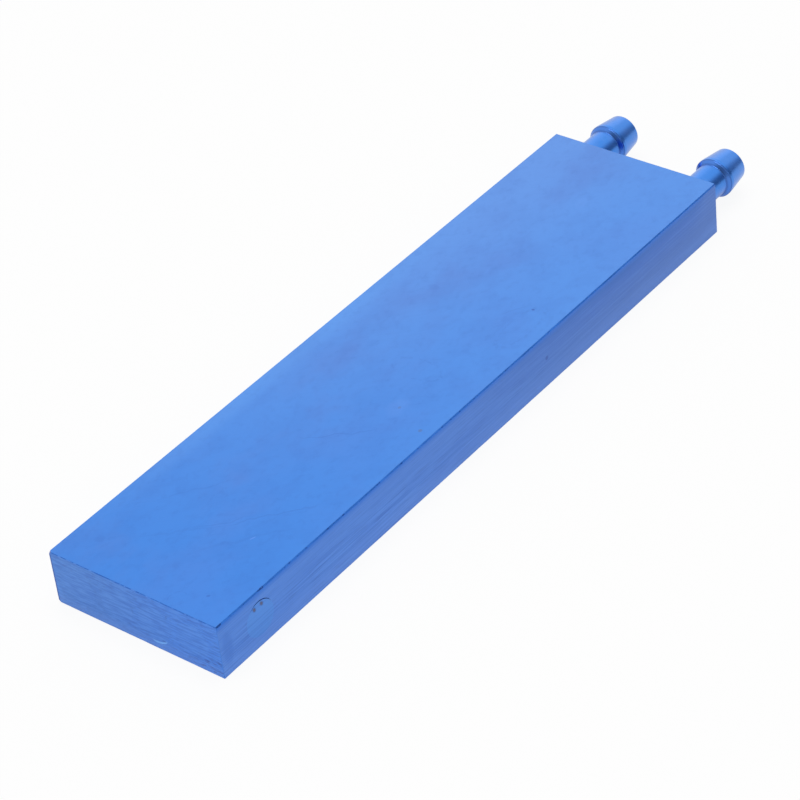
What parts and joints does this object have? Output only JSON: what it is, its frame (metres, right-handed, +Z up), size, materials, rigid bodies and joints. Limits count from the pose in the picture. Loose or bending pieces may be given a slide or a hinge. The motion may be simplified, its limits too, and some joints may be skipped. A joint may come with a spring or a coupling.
{
  "type": "water cooling block",
  "caption": "Flat anodised aluminium liquid cold plate: a drilled bar with hidden water channels, pressed plugs and two hose barbs side by side on one end.",
  "frame": {"origin": "centre of the bar's bottom face", "axes": "+Y along the bar towards the hose barbs, +Z up through its thickness, +X to the right seen from the plugged end"},
  "size_m": [0.04, 0.1755, 0.012],
  "materials": {
    "anodised_bar": "blue anodised, satin",
    "pressed_plug": "blue anodised with the bar, ground flush",
    "turned_barb": "blue anodised, bright turned"
  },
  "bodies": {
    "root": {"block_body": "anodised_bar", "end_plug_left_outer": "pressed_plug", "end_plug_left_inner": "pressed_plug", "end_plug_right_inner": "pressed_plug", "end_plug_right_outer": "pressed_plug", "side_plug_right": "pressed_plug", "side_plug_left": "pressed_plug", "side_plug_port_end": "pressed_plug", "inner_plug": "pressed_plug", "inlet_barb": "turned_barb", "outlet_barb": "turned_barb"}
  },
  "joints": []
}
